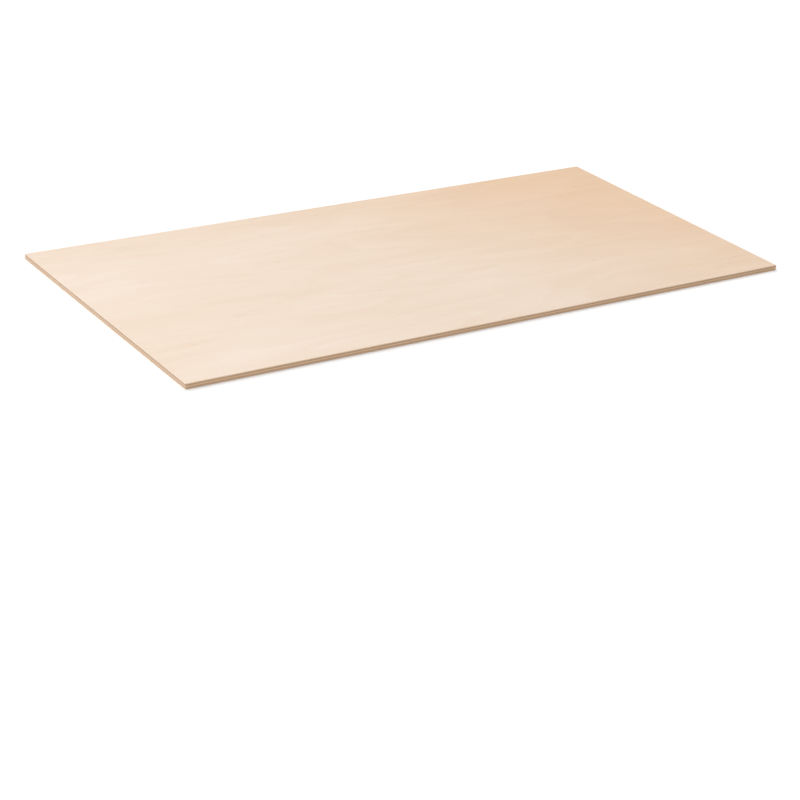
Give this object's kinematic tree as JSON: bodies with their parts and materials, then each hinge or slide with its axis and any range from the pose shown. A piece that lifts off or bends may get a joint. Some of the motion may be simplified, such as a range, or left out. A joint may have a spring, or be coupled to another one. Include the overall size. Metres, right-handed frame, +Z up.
{
  "type": "plywood_sheet",
  "caption": "Flat rectangular plywood sheet of cross-laminated pale veneers with sanded faces and square sawn edges; panel stock for floors, walls, roofs and furniture.",
  "frame": {"origin": "middle of the back face, on the surface the sheet lies on", "axes": "+X along the length and the face grain, +Y across the width, +Z up out of the face"},
  "size_m": [2.44, 1.22, 0.019],
  "materials": {
    "face_veneer": "sanded",
    "crossband_veneer": "sawn",
    "core_veneer": "sawn",
    "back_veneer": "sanded"
  },
  "bodies": {
    "root": {"face_veneer": "face_veneer", "upper_crossband": "crossband_veneer", "core_veneer": "core_veneer", "lower_crossband": "crossband_veneer", "back_veneer": "back_veneer"}
  },
  "joints": []
}
